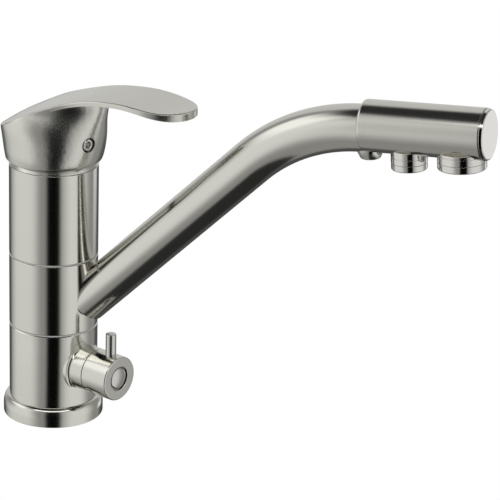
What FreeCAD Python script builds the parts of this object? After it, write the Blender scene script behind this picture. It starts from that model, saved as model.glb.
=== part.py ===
import FreeCAD, Part
import math
import os

os.makedirs("parts", exist_ok=True)

V = FreeCAD.Vector
UP = V(0, 0, 1)

# All lengths are in millimetres. The tap stands on the deck at z = 0, its column is on the Z axis
# and the spout points along +X.

# Clearances
running_fit = 0.05
seat_gap = 0.03
face_gap = 0.1
guide_gap = 0.3
edge_break = 0.4

# Body and foot, sized round a standard cartridge of 35 mm
cartridge_radius = 17.5
body_wall = 5.5
body_radius = cartridge_radius + body_wall
foot_overhang = 3.1
foot_radius = body_radius + foot_overhang
foot_side_height = 4.5
foot_height = 10.0
spigot_step = 3.0
spigot_radius = body_radius - spigot_step
spigot_bottom = 2.0
gasket_thickness = 1.0
gasket_inner_radius = spigot_radius + 1.0
gasket_outer_radius = foot_radius - 1.7
slip_ring_thickness = 0.6
slip_ring_inset = 0.3
lower_body_top = 49.9
sleeve_length = 37.9
sleeve_bottom = lower_body_top + slip_ring_thickness + face_gap
sleeve_top = sleeve_bottom + sleeve_length
upper_body_bottom = sleeve_top + face_gap + slip_ring_thickness

# Column inside the sleeve
column_step = 1.5
column_radius = cartridge_radius - column_step
column_foot_depth = 7.9
column_head_height = 5.8
column_bottom = lower_body_top - column_foot_depth
cartridge_seat = upper_body_bottom + column_head_height
seal_section = 1.0
seal_spacing = 3.9
chamber_depth = 2.5
mixed_chamber_rise = 7.1
mixed_chamber_height = 9.0
filtered_chamber_height = 6.5
mixed_chamber_bottom = lower_body_top + mixed_chamber_rise
mixed_chamber_top = mixed_chamber_bottom + mixed_chamber_height
filtered_chamber_bottom = sleeve_bottom + 0.67 * sleeve_length
filtered_chamber_top = filtered_chamber_bottom + filtered_chamber_height
mixed_chamber = (mixed_chamber_bottom, mixed_chamber_top)
filtered_chamber = (filtered_chamber_bottom, filtered_chamber_top)
middle_seal_height = (mixed_chamber_top + filtered_chamber_bottom) / 2
seal_heights = (lower_body_top + seal_spacing, middle_seal_height, upper_body_bottom - seal_spacing)
foot_seal_height = lower_body_top - seal_spacing
chamber_radius = column_radius + chamber_depth

# Water ways from the inlets to the cartridge
inlet_radius = 4.5
inlet_depth = 14.0
hot_inlet = (-0.3125 * column_radius, -0.59375 * column_radius)
cold_inlet = (hot_inlet[0], -hot_inlet[1])
filtered_inlet = (0.5625 * column_radius, 0.0)
stud_hole = (-0.875 * column_radius, 0.0)
stud_hole_radius = 3.4
stud_hole_depth = 15.0
supply_bore_radius = 2.75
mixed_bore_radius = 3.5
mixed_bore_bottom = mixed_chamber[0] + 1.0
mixed_port_height = (mixed_chamber[0] + mixed_chamber[1]) / 2
mixed_port_angles = (55.0, -55.0)
mixed_port_radius = 2.5
filtered_bore_radius = 1.8
filtered_bore_reach = 0.6875 * column_radius
filtered_port_height = filtered_chamber[0] + 3.0
filtered_port_radius = 1.5

# Cartridge, built upwards from its seat
cartridge_room = 0.7
cartridge_wall = 1.3
cartridge_cavity_radius = cartridge_radius + cartridge_room
cartridge_bore_radius = cartridge_radius - cartridge_wall
cartridge_step_width = 0.5
turret_step = 6.5
turret_flange_width = 3.0
turret_radius = cartridge_radius - turret_step
turret_flange_radius = turret_radius + turret_flange_width
turret_flange_height = 2.5
cartridge_mouth_radius = turret_radius + 2 * guide_gap
cartridge_lip = 2.5
base_thickness = 6.0
port_seal_height = 1.6
port_seat_radius = supply_bore_radius + 1.25
disc_port_radius = supply_bore_radius - 0.35
disc_thickness = 4.0
fixed_disc_step = 3.0
moving_disc_step = 7.2
fixed_disc_radius = cartridge_radius - fixed_disc_step
moving_disc_radius = cartridge_radius - moving_disc_step
channel_length = 1.068 * moving_disc_radius
channel_width = 1.262 * moving_disc_radius
channel_depth = 2.0
carrier_radius = moving_disc_radius + 2 * face_gap
carrier_height = 5.6
carrier_floor = 1.44
spindle_side = 7.0
spindle_neck_radius = 2.2
spindle_ball_radius = 3.2
spindle_arm = 12.0
spindle_post_radius = 3.4
hub_radius = 4.0
hub_half_width = 3.5
pivot_pin_radius = 1.5
base_top = cartridge_seat + base_thickness
fixed_disc_top = base_top + disc_thickness
moving_disc_bottom = fixed_disc_top + seat_gap
moving_disc_top = moving_disc_bottom + disc_thickness
carrier_bottom = moving_disc_top + seat_gap
carrier_top = carrier_bottom + carrier_height
turret_bottom = carrier_top + 2 * guide_gap
pocket_floor = carrier_bottom + carrier_floor
pivot_height = pocket_floor + guide_gap + spindle_ball_radius + spindle_arm
cartridge_top_drop = 1.0
turret_rise = 5.0
cartridge_top = pivot_height - cartridge_top_drop
turret_top = pivot_height + turret_rise
turret_slot_width = 2 * (hub_half_width + guide_gap)
turret_slot_reach = 8.6
nut_height = 9.0
nut_step = 1.0
nut_inner_radius = cartridge_mouth_radius + nut_step
nut_socket_radius = cartridge_radius - nut_step
nut_socket_depth = 5.0
spindle_post_rise = 9.0
spindle_rise = 30.5
spindle_square_bottom = pivot_height + spindle_post_rise
spindle_top = pivot_height + spindle_rise

# Dome ring between the body and the handle
body_top_rise = 11.4
dome_height = 6.0
dome_width = 4.2
body_top = pivot_height + body_top_rise
dome_bottom = body_top + guide_gap
dome_top = body_top + dome_height
dome_opening_radius = body_radius - dome_width
dome_wall = 2.0
dome_neck_step = 0.8
dome_skirt_depth = 3.0
dome_skirt_radius = 0.94 * cartridge_radius

# Lever handle: a cap over the cartridge with a paddle that runs out over the spout
cap_overhang = 3.8
cap_rise = 15.0
cap_wall = 3.6
cap_upper_wall = 2.6
cap_mouth_depth = 9.0
cap_radius = body_radius + cap_overhang
cap_bottom = pivot_height + cap_rise
cap_inner_radius = cap_radius - cap_wall
cap_top_thickness = 2.6
lever_tip = 2.929 * cap_radius
tip_start = 2.09 * cap_radius
paddle_half_width = 0.662 * cap_radius
rim_round = 0.9
lever_boss_radius = 7.5
lever_boss_rise = 7.0
lever_boss_bottom = cap_bottom + lever_boss_rise
lever_boss_lowering = 1.0
set_screw_rise = 12.3
set_screw_height = cap_bottom + set_screw_rise
set_screw_angle = -22.0
set_screw_head_radius = 3.8
set_screw_head_depth = 6.0
set_screw_head_gap = 0.12
set_screw_inset = 1.2
set_screw_shank_radius = 2.4
set_screw_tunnel_radius = 5.4
set_screw_socket = 1.3
set_screw_socket_depth = 3.0

# The lever along its length: reach as a share of the cap's radius, height of the edge above the
# pivot, height of the crown above the edge, and thickness.
lever_line = (
    (-1.12, 25.0, 3.2, 3.0),
    (-0.97, 28.1, 3.0, 3.0),
    (-0.746, 32.4, 2.8, 3.0),
    (-0.448, 37.4, 2.2, 3.0),
    (0.0, 43.4, 1.4, 2.6),
    (0.448, 48.0, 0.8, 2.4),
    (0.896, 51.5, 0.5, 2.5),
    (1.343, 53.3, 0.2, 2.5),
    (1.791, 53.6, 0.0, 2.6),
    (2.239, 52.5, -0.3, 3.0),
    (2.612, 51.7, -0.3, 3.8),
    (3.134, 51.4, -0.2, 3.4),
)

# The cap at several heights, all as shares of its radius: height above its lower edge, half the
# length, half the width, shift towards the lever's tip, and how much the outline narrows to the front.
cap_line = (
    (0.0, 0.925, 0.925, 0.0, 0.0),
    (0.112, 0.955, 0.944, 0.008, 0.0),
    (0.299, 0.989, 0.948, 0.015, 0.02),
    (0.522, 1.019, 0.94, 0.019, 0.08),
    (0.746, 1.045, 0.896, 0.019, 0.18),
    (0.97, 1.082, 0.78, 0.019, 0.24),
    (1.194, 1.104, 0.743, 0.019, 0.25),
    (1.567, 1.12, 0.71, 0.019, 0.25),
)
cap_section_points = 36

# Half the lever's width along its neck, as shares of the cap's radius: reach and half width.
neck_line = (
    (0.224, 0.675),
    (0.522, 0.616),
    (0.896, 0.595),
    (1.343, 0.616),
    (1.716, 0.64),
)

# Spout tube
tube_radius = 11.66
tube_wall = 1.96
tube_spigot_step = 0.9
tube_bore_radius = tube_radius - tube_wall
tube_spigot_radius = tube_radius - tube_spigot_step
tube_foot_reach = 6.0
tube_rise = 44.8
tube_exit_height = sleeve_bottom + 0.484 * sleeve_length
tube_foot_height = tube_exit_height - body_radius * math.tan(math.radians(tube_rise))
tube_bend_radius = 92.3
tube_spigot_length = 12.0
tube_seal_thickness = 1.4
mixed_sleeve_port_height = mixed_port_height + 0.5
mixed_sleeve_port_radius = 3.6

# Spout head, measured along its own axis
head_tilt = 4.5
head_rise = 120.55
head_axis_height = lower_body_top + head_rise
head_offset = 1.5
head_step = 1.1
head_wall = 2.9
head_radius = tube_radius + head_step
head_bore_radius = head_radius - head_wall
head_edge_round = 1.6
end_cap_thickness = 1.7
end_groove_width = 0.6
end_groove_depth = 0.8
end_cap_bevel = 1.1
end_plug_length = 3.4
end_plug_wall = 2.4
boss_to_filtered = 19.9
head_start_to_filtered = 22.7
filtered_to_mains = 26.8
mains_to_head_end = 14.3
boss_sink = 0.7
boss_height = 3.5
boss_shoulder = head_radius - boss_sink
boss_root_radius = 6.8
boss_tip_radius = 4.8
boss_tip_round = 1.2
boss_saddle_gap = 0.3
boss_depth = head_radius + boss_height
lock_screw_radius = 2.5
lock_screw_socket_radius = 1.25
lock_screw_socket_depth = 2.3
lock_screw_inset = 0.5

# Outlets under the head, as depths below the head's axis
mains_radius = 11.96
mains_rim = 3.66
mains_line_drop = -2.6
mains_insert_drop = -1.8
mains_split_drop = 1.0
mains_mouth_drop = 4.7
mains_crown_drop = -4.0
filtered_radius = 8.9
filtered_rim = 3.25
filtered_line_drop = 0.85
filtered_split_drop = 3.85
filtered_mouth_drop = 7.2
filtered_crown_drop = -2.6
mains_root_step = 0.6
filtered_root_step = 1.0
outlet_root_top = head_bore_radius + 2 * face_gap
outlet_passage_top = 5.0
outlet_wall = 1.6
outlet_nose = 1.0
outlet_washer = 0.7
outlet_flange = 0.5
outlet_line_width = 0.5
outlet_line_depth = 0.3
shell_inset = 0.06
shell_gap = 0.08
shell_round = 0.7
insert_wall = 0.9
insert_inset = 0.2
mesh_thickness = 0.4
mesh_hole_radius = 0.62
mesh_spacing = 1.75

# Filtered-water hose inside the spout
hose_radius = 3.0
hose_wall = 1.05
hose_bore_radius = hose_radius - hose_wall
hose_bend_radius = 14.0
hose_start_gap = 1.7
hose_start = body_radius + hose_start_gap
hose_end_gap = 6.5
nipple_radius = 2.4
nipple_collar_radius = 3.0
nipple_wall = 0.65
nipple_collar_start = body_radius + guide_gap
nipple_spigot_radius = hose_bore_radius - face_gap
nipple_bore_radius = nipple_spigot_radius - nipple_wall
nipple_spigot_length = 3.4
elbow_radius = 3.3
elbow_bore_radius = 1.7
elbow_depth = boss_shoulder

# Side valve, measured out from the column's axis
valve_angle = -15.0
valve_height = 30.2
valve_cavity_radius = 8.0
valve_cavity_depth = 13.5
valve_feed_depth = 5.0
valve_boss_wall = 2.0
valve_boss_length = 3.0
collar_wall = 1.7
collar_flare = 1.6
collar_flare_length = 1.8
collar_root_depth = 2.0
collar_length = 6.8
valve_cavity_start = body_radius - valve_cavity_depth
valve_feed_radius = 3.5
valve_feed_start = valve_cavity_start - valve_feed_depth
valve_boss_radius = valve_cavity_radius + valve_boss_wall
valve_boss_start = valve_feed_start + 0.5
valve_boss_end = body_radius + valve_boss_length
collar_radius = valve_boss_radius + collar_wall
collar_start = body_radius - collar_root_depth - collar_length
collar_root_radius = collar_radius + collar_flare
collar_root_end = body_radius - collar_root_depth
collar_end = body_radius + collar_length
valve_seal_radius = 5.6
valve_seal_thickness = 0.8
valve_disc_radius = valve_cavity_radius - 2 * face_gap
valve_moving_disc_radius = 6.0
valve_disc_thickness = 1.3
valve_window_radius = 3.2
valve_window_inset = 0.7
valve_flange_thickness = 1.5
headwork_hex = 15.0
headwork_nose = 1.6
headwork_groove_depth = 0.8
headwork_end = collar_end + headwork_nose
headwork_groove_radius = valve_cavity_radius - headwork_groove_depth
headwork_window_radius = 1.6
valve_spindle_radius = 3.0
valve_square = 4.4
spindle_seal_section = 0.4
spindle_seal_depth = 5.0
spindle_seal_place = valve_boss_end - spindle_seal_depth

# Knob of the side valve with its pin
knob_radius = 11.7
knob_start = collar_end + guide_gap
knob_length = 15.9
knob_end = knob_start + knob_length
knob_edge_round = 0.7
knob_recess_radius = 6.4
knob_recess_depth = 4.5
knob_recess_floor = knob_end - knob_recess_depth
knob_recess_step = 0.5
knob_button_radius = knob_recess_radius - knob_recess_step
knob_button_rise = 0.9
knob_button_sink = 0.3
knob_flange_thickness = 1.0
knob_wall = 1.8
knob_back_depth = 2.9
knob_back_radius = knob_radius - knob_wall
knob_back_end = knob_start + knob_back_depth
knob_screw_radius = 1.9
knob_screw_head_radius = 3.6
knob_screw_head_height = 1.6
knob_slot_width = 0.9
spindle_square_length = 5.0
valve_spindle_end = knob_back_end + spindle_square_length
pin_place = 9.9
pin_reach = knob_start + pin_place
pin_radius = 2.75
pin_foot = 7.4
pin_top = 23.6
pin_chamfer = 0.5


def save(name, shape):
    shape.exportStep("parts/" + name + ".step")


def rod(radius, start, direction, length):
    return Part.makeCylinder(radius, length, start, direction)


def post(radius, bottom, top, x=0.0, y=0.0):
    return rod(radius, V(x, y, bottom), UP, top - bottom)


def ring(outer, inner, bottom, top):
    return post(outer, bottom, top).cut(post(inner, bottom - 1.0, top + 1.0))


def along_x(radius, start, end, z=0.0):
    return rod(radius, V(start, 0, z), V(1, 0, 0), end - start)


def turned(profile):
    # A closed outline of (radius, height) pairs, turned about the Z axis.
    points = [V(radius, 0, height) for radius, height in profile]
    wire = Part.makePolygon(points + [points[0]])
    return Part.Face(wire).revolve(V(0, 0, 0), UP, 360)


def seal_ring(section, outer, height):
    return Part.makeTorus(outer - section, section, V(0, 0, height), UP)


def seal_groove(section, outer, height):
    depth = 2 * section + seat_gap
    half = section + seat_gap
    return ring(outer + 1.0, outer - depth, height - half, height + half)


def heading(angle):
    turn = math.radians(angle)
    return V(math.cos(turn), math.sin(turn), 0)


def chamfer_at(shape, height, size, radius):
    # Breaks the circular edge of the given radius that lies at one height.
    chosen = []
    for edge in shape.Edges:
        box = edge.BoundBox
        flat = abs(box.ZMin - height) < 0.01 and abs(box.ZMax - height) < 0.01
        if flat and abs(box.XMax - radius) < 0.01:
            chosen.append(edge)
    return shape.makeChamfer(size, chosen)


def group(shapes):
    return Part.makeCompound(shapes)


# Lines of the spout in the XZ plane

def direction(elevation):
    turn = math.radians(elevation)
    return V(math.cos(turn), 0, math.sin(turn))


def head_point(reach, lift=0.0):
    tilt = math.radians(head_tilt)
    x = reach * math.cos(tilt) - lift * math.sin(tilt)
    z = reach * math.sin(tilt) + lift * math.cos(tilt)
    return V(x, 0, head_axis_height + z)


def tube_corner():
    # Where the rising line meets the line that enters the head.
    entry = head_point(0.0, -head_offset)
    rise = math.tan(math.radians(tube_rise))
    fall = math.tan(math.radians(head_tilt))
    entry_height = entry.z - entry.x * fall
    x = (entry_height - tube_foot_height) / (rise - fall)
    return V(x, 0, tube_foot_height + x * rise)


def tube_bend_ends():
    reach = tube_bend_radius * math.tan(math.radians((tube_rise - head_tilt) / 2))
    corner = tube_corner()
    return corner - direction(tube_rise) * reach, corner + direction(head_tilt) * reach


bend_end_reach = (tube_bend_ends()[1] - head_point(0.0)).dot(direction(head_tilt))
head_start = bend_end_reach + 2 * seat_gap
tube_shoulder = head_start - running_fit
filtered_reach = head_start + head_start_to_filtered
boss_reach = filtered_reach - boss_to_filtered
mains_reach = filtered_reach + filtered_to_mains
head_end = mains_reach + mains_to_head_end
head_face = head_end - end_cap_thickness
spigot_end = tube_shoulder + tube_spigot_length
socket_end = spigot_end + tube_seal_thickness + 2 * seat_gap

# Each outlet: its reach along the head, its outer and bore radius, the radius of its root in the
# head, and the depths of its line, insert, split and mouth below the head's axis.
mains_outlet = {
    "reach": mains_reach,
    "radius": mains_radius,
    "bore": mains_radius - mains_rim,
    "root": mains_radius - mains_rim + mains_root_step,
    "crown": head_radius + mains_crown_drop,
    "line": head_radius + mains_line_drop,
    "insert": head_radius + mains_insert_drop,
    "split": head_radius + mains_split_drop,
    "bottom": head_radius + mains_mouth_drop,
}
filtered_outlet = {
    "reach": filtered_reach,
    "radius": filtered_radius,
    "bore": filtered_radius - filtered_rim,
    "root": filtered_radius - filtered_rim + filtered_root_step,
    "crown": head_radius + filtered_crown_drop,
    "line": head_radius + filtered_line_drop,
    "insert": head_radius + filtered_line_drop,
    "split": head_radius + filtered_split_drop,
    "bottom": head_radius + filtered_mouth_drop,
}


# Side valve frame
valve_out = heading(valve_angle)
valve_centre = V(0, 0, valve_height)


def on_valve(distance):
    return valve_centre + valve_out * distance


def valve_rod(radius, start, end):
    return rod(radius, on_valve(start), valve_out, end - start)


def valve_ring(outer, inner, start, end):
    return valve_rod(outer, start, end).cut(valve_rod(inner, start - 1.0, end + 1.0))


def into_valve_place(shape):
    # Moves a piece drawn with its axis along +X at z = 0 onto the side valve's axis.
    moved = shape.copy()
    moved.rotate(V(0, 0, 0), UP, valve_angle)
    moved.translate(valve_centre)
    return moved


def into_head_place(shape):
    # Moves a piece drawn with the head's axis along +X at z = 0 into the tilted head.
    moved = shape.copy()
    moved.rotate(V(0, 0, 0), V(0, 1, 0), -head_tilt)
    moved.translate(V(0, 0, head_axis_height))
    return moved


def supply_bores(radius, bottom, top):
    hot = post(radius, bottom, top, *hot_inlet)
    cold = post(radius, bottom, top, *cold_inlet)
    return hot.fuse(cold)


def filtered_bore(bottom, top):
    place = valve_out * filtered_bore_reach
    return post(filtered_bore_radius, bottom, top, place.x, place.y)


# Foot ring and gasket

def foot_ring():
    inner = spigot_radius + seat_gap
    side_top = V(foot_radius, 0, foot_side_height)
    body_edge = V(body_radius, 0, foot_height)
    width = foot_radius - body_radius
    rise = foot_height - foot_side_height
    half = math.sqrt(0.5)
    middle = V(body_radius + width * half, 0, foot_side_height + rise * half)
    start = V(inner, 0, 0)
    top = V(inner, 0, foot_height)
    edges = [
        Part.LineSegment(start, V(foot_radius, 0, 0)).toShape(),
        Part.LineSegment(V(foot_radius, 0, 0), side_top).toShape(),
        Part.Arc(side_top, middle, body_edge).toShape(),
        Part.LineSegment(body_edge, top).toShape(),
        Part.LineSegment(top, start).toShape(),
    ]
    body = Part.Face(Part.Wire(edges)).revolve(V(0, 0, 0), UP, 360)
    groove = ring(gasket_outer_radius, gasket_inner_radius, -1.0, gasket_thickness)
    return body.cut(groove)


def deck_gasket():
    outer = gasket_outer_radius - seat_gap
    inner = gasket_inner_radius + seat_gap
    return ring(outer, inner, 0.0, gasket_thickness - seat_gap)


# Lower body with the boss of the side valve

def lower_body():
    foot = post(spigot_radius, spigot_bottom, foot_height)
    wall = post(body_radius, foot_height, lower_body_top)
    wall = chamfer_at(wall, lower_body_top, edge_break, body_radius)
    body = wall.fuse(foot).fuse(valve_rod(valve_boss_radius, valve_boss_start, valve_boss_end))
    socket = post(column_radius + seat_gap, column_bottom, lower_body_top + 1.0)
    body = body.cut(socket)
    body = body.cut(supply_bores(supply_bore_radius, spigot_bottom, column_bottom + 1.0))
    inlet_top = spigot_bottom + inlet_depth
    for x, y in (hot_inlet, cold_inlet, filtered_inlet):
        body = body.cut(post(inlet_radius, spigot_bottom - 1.0, inlet_top, x, y))
    stud_top = spigot_bottom + stud_hole_depth
    body = body.cut(post(stud_hole_radius, spigot_bottom - 1.0, stud_top, *stud_hole))
    body = body.cut(valve_rod(valve_cavity_radius, valve_cavity_start, valve_boss_end + 1.0))
    body = body.cut(valve_rod(valve_feed_radius, valve_feed_start, valve_cavity_start + 1.0))
    feed_start = V(filtered_inlet[0] - 0.5, filtered_inlet[1], inlet_top - 1.0)
    feed_end = on_valve(valve_feed_start + 1.5)
    feed = feed_end - feed_start
    body = body.cut(rod(filtered_bore_radius, feed_start, feed, feed.Length))
    body = body.cut(filtered_bore(valve_height, column_bottom + 1.0))
    return body.removeSplitter()


# Column on which the sleeve turns

def column():
    body = post(column_radius, column_bottom, cartridge_seat)
    for height in seal_heights + (foot_seal_height,):
        body = body.cut(seal_groove(seal_section, column_radius, height))
    body = body.cut(supply_bores(supply_bore_radius, column_bottom - 1.0, cartridge_seat + 1.0))
    body = body.cut(post(mixed_bore_radius, mixed_bore_bottom, cartridge_seat + 1.0))
    body = body.cut(filtered_bore(column_bottom - 1.0, filtered_port_height + filtered_port_radius))
    for angle in mixed_port_angles:
        centre = V(0, 0, mixed_port_height)
        body = body.cut(rod(mixed_port_radius, centre, heading(angle), column_radius + 1.0))
    port = valve_out * filtered_bore_reach + V(0, 0, filtered_port_height)
    return body.cut(rod(filtered_port_radius, port, valve_out, column_radius))


def column_foot_seal():
    return seal_ring(seal_section, column_radius, foot_seal_height)


def swivel_seals():
    return group([seal_ring(seal_section, column_radius, height) for height in seal_heights])


def slip_ring(bottom):
    inner = column_radius + running_fit
    outer = body_radius - slip_ring_inset
    return ring(outer, inner, bottom, bottom + slip_ring_thickness)


# Upper body, cartridge and dome ring

def upper_body():
    wall = post(body_radius, upper_body_bottom, body_top)
    wall = chamfer_at(wall, upper_body_bottom, edge_break, body_radius)
    wall = chamfer_at(wall, body_top, edge_break, body_radius)
    wall = wall.cut(post(column_radius + seat_gap, upper_body_bottom - 1.0, cartridge_seat + 1.0))
    return wall.cut(post(cartridge_cavity_radius, cartridge_seat, body_top + 1.0))


def cartridge_ports(radius, bottom, top):
    ports = supply_bores(radius, bottom, top)
    return ports.fuse(post(radius, bottom, top))


def cartridge_base():
    body = post(cartridge_radius, cartridge_seat + seat_gap, base_top)
    seats = cartridge_ports(port_seat_radius, cartridge_seat, cartridge_seat + port_seal_height)
    return body.cut(seats).cut(cartridge_ports(supply_bore_radius, cartridge_seat, base_top + 1.0))


def port_seals():
    seals = []
    bottom = cartridge_seat + seat_gap
    top = cartridge_seat + port_seal_height
    for x, y in (hot_inlet, cold_inlet, (0.0, 0.0)):
        seal = ring(port_seat_radius - seat_gap, supply_bore_radius + seat_gap, bottom, top)
        seal.translate(V(x, y, 0))
        seals.append(seal)
    return group(seals)


def fixed_disc():
    body = post(fixed_disc_radius, base_top, fixed_disc_top)
    return body.cut(cartridge_ports(disc_port_radius, base_top - 1.0, fixed_disc_top + 1.0))


def cartridge_housing():
    outer = post(cartridge_radius, base_top + seat_gap, cartridge_top)
    chamber_top = cartridge_top - cartridge_lip
    outer = outer.cut(post(cartridge_bore_radius, base_top, chamber_top))
    outer = outer.cut(post(cartridge_mouth_radius, chamber_top - 1.0, cartridge_top + 1.0))
    step_outer = cartridge_bore_radius + cartridge_step_width
    step_inner = fixed_disc_radius + seat_gap
    step_top = fixed_disc_top - cartridge_step_width
    step = ring(step_outer, step_inner, base_top + cartridge_step_width, step_top)
    return outer.fuse(step).removeSplitter()


def cartridge_nut():
    outer = cartridge_cavity_radius - seat_gap
    body = ring(outer, nut_inner_radius, cartridge_top, cartridge_top + nut_height)
    hexagon = []
    floor = V(0, 0, cartridge_top + nut_height - nut_socket_depth)
    for corner in range(6):
        hexagon.append(heading(60.0 * corner) * nut_socket_radius + floor)
    socket = Part.Face(Part.makePolygon(hexagon + [hexagon[0]])).extrude(V(0, 0, nut_height))
    return body.cut(socket)


def dome_sphere_radius():
    return math.hypot(body_radius, dome_bottom - pivot_height)


def dome_ring():
    outer = Part.makeSphere(dome_sphere_radius(), V(0, 0, pivot_height))
    inner = Part.makeSphere(dome_sphere_radius() - dome_wall, V(0, 0, pivot_height))
    shell = outer.cut(inner).common(post(body_radius + 1.0, dome_bottom, dome_top))
    shell = shell.cut(post(dome_opening_radius, dome_bottom - 1.0, dome_top + 1.0))
    neck_top = dome_bottom + dome_neck_step
    neck = ring(body_radius - dome_neck_step, dome_skirt_radius, body_top, neck_top)
    guide = cartridge_cavity_radius - seat_gap
    skirt = ring(guide, dome_skirt_radius, body_top - dome_skirt_depth, body_top)
    return shell.fuse(neck).fuse(skirt).removeSplitter()


# Parts of the cartridge that turn with the handle

def turret():
    flange = post(turret_flange_radius, turret_bottom, turret_bottom + turret_flange_height)
    neck = post(turret_radius, turret_bottom, turret_top)
    body = flange.fuse(neck).removeSplitter()
    # The slot leaves room for the spindle to swing forward below the pivot and back above it.
    reach = turret_slot_reach
    corner = V(-reach, -turret_slot_width / 2, turret_bottom - 1.0)
    slot = Part.makeBox(2 * reach, turret_slot_width, turret_top - turret_bottom + 2.0, corner)
    body = body.cut(slot)
    start = V(0, -turret_radius - 1.0, pivot_height)
    return body.cut(rod(pivot_pin_radius + seat_gap, start, V(0, 1, 0), 2 * turret_radius + 2.0))


def pivot_pin():
    half = turret_radius - 2 * guide_gap
    return rod(pivot_pin_radius, V(0, -half, pivot_height), V(0, 1, 0), 2 * half)


def disc_carrier():
    body = post(carrier_radius, carrier_bottom, carrier_top)
    return body.cut(post(spindle_ball_radius + guide_gap, pocket_floor, carrier_top + 1.0))


def moving_disc():
    body = post(moving_disc_radius, moving_disc_bottom, moving_disc_top)
    half = channel_width / 2
    corner = V(-half, -half, moving_disc_bottom - 1.0)
    channel = Part.makeBox(channel_length, channel_width, channel_depth + 1.0, corner)
    return body.cut(channel)


# Lever handle

def lever_section(share, edge_rise, crown, drop_height):
    # One cross-section of the lever's plate: a crowned top over a parallel underside.
    place = share * cap_radius
    wide = 1.15 * cap_radius
    rise = V(0, 0, crown * (wide / cap_radius) ** 2)
    base = pivot_height + edge_rise - crown * ((wide / cap_radius) ** 2 - 1.0)
    near = V(place, -wide, base)
    far = V(place, wide, base)
    crest = V(place, 0, base) + rise
    drop = V(0, 0, -drop_height)
    top = Part.BSplineCurve()
    top.interpolate([near, crest, far])
    low = Part.BSplineCurve()
    low.interpolate([far + drop, crest + drop, near + drop])
    far_side = Part.LineSegment(far, far + drop).toShape()
    near_side = Part.LineSegment(near + drop, near).toShape()
    return Part.Wire([top.toShape(), far_side, low.toShape(), near_side])


# Deep enough to reach below the cap from any point of the lever's top.
lever_depth = 2.6 * cap_radius


def below_lever_top(lowered):
    # Everything under the lever's top face, the face itself lowered by the given amount.
    sections = []
    for share, edge_rise, crown, _ in lever_line:
        sections.append(lever_section(share, edge_rise - lowered, crown, lever_depth))
    return Part.makeLoft(sections, True, False)


def below_paddle():
    # Everything under the paddle's lower face.
    sections = []
    for share, edge_rise, crown, thickness in lever_line:
        sections.append(lever_section(share, edge_rise - thickness, crown, lever_depth))
    return Part.makeLoft(sections, True, False)


def paddle_outline():
    # Seen from above: the neck narrows from the cap, widens again and ends in half an ellipse.
    points = [V(reach * cap_radius, half * cap_radius, 0) for reach, half in neck_line]
    points.append(V(tip_start, paddle_half_width, 0))
    leaving = points[1] - points[0]
    far_side = Part.BSplineCurve()
    far_side.interpolate(points, InitialTangent=leaving, FinalTangent=V(1, 0, 0))
    mirrored = [V(point.x, -point.y, 0) for point in points]
    near_side = Part.BSplineCurve()
    near_side.interpolate(mirrored, InitialTangent=V(leaving.x, -leaving.y, 0), FinalTangent=V(1, 0, 0))
    tip = Part.Ellipse(V(lever_tip, 0, 0), V(tip_start, paddle_half_width, 0), V(tip_start, 0, 0))
    root = points[0]
    edges = [
        far_side.toShape(),
        Part.Arc(tip, -math.pi / 2, math.pi / 2).toShape(),
        near_side.toShape(),
        Part.LineSegment(V(root.x, -root.y, 0), root).toShape(),
    ]
    face = Part.Face(Part.Wire(Part.__sortEdges__(edges)))
    face.translate(V(0, 0, cap_bottom + cap_mouth_depth))
    return face.extrude(V(0, 0, lever_depth))


def cap_section(share, half_length, half_width, shift, taper, inset):
    # One level outline of the cap: round at its lower edge, egg-shaped under the lever's plate.
    long_half = half_length * cap_radius - inset
    wide_half = half_width * cap_radius - inset
    points = []
    for step in range(cap_section_points):
        turn = 2 * math.pi * step / cap_section_points
        x = long_half * math.cos(turn) + shift * cap_radius
        y = wide_half * math.sin(turn) * (1.0 - taper * math.cos(turn))
        points.append(V(x, y, cap_bottom + share * cap_radius))
    outline = Part.BSplineCurve()
    outline.interpolate(points, PeriodicFlag=True)
    return Part.Wire([outline.toShape()])


def cap_shape(inset):
    return Part.makeLoft([cap_section(*row, inset) for row in cap_line], True, False)


def rounded_rim(body):
    curved = [face for face in body.Faces if face.Surface.TypeId == "Part::GeomBSplineSurface"]
    top = max(curved, key=lambda face: face.Area)
    return body.makeFillet(rim_round, top.OuterWire.Edges)


screw_way = heading(set_screw_angle)
screw_line = V(0, 0, set_screw_height)


def screw_rod(radius, start, end):
    return rod(radius, screw_line + screw_way * start, screw_way, end - start)


def square_post(side, bottom, top):
    # A square prism with one flat facing the set screw.
    box = Part.makeBox(side, side, top - bottom, V(-side / 2, -side / 2, bottom))
    box.rotate(V(0, 0, 0), UP, set_screw_angle)
    return box


set_screw_seat = cap_radius - set_screw_inset - set_screw_head_depth
set_screw_tip = spindle_side / 2 + seat_gap


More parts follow.
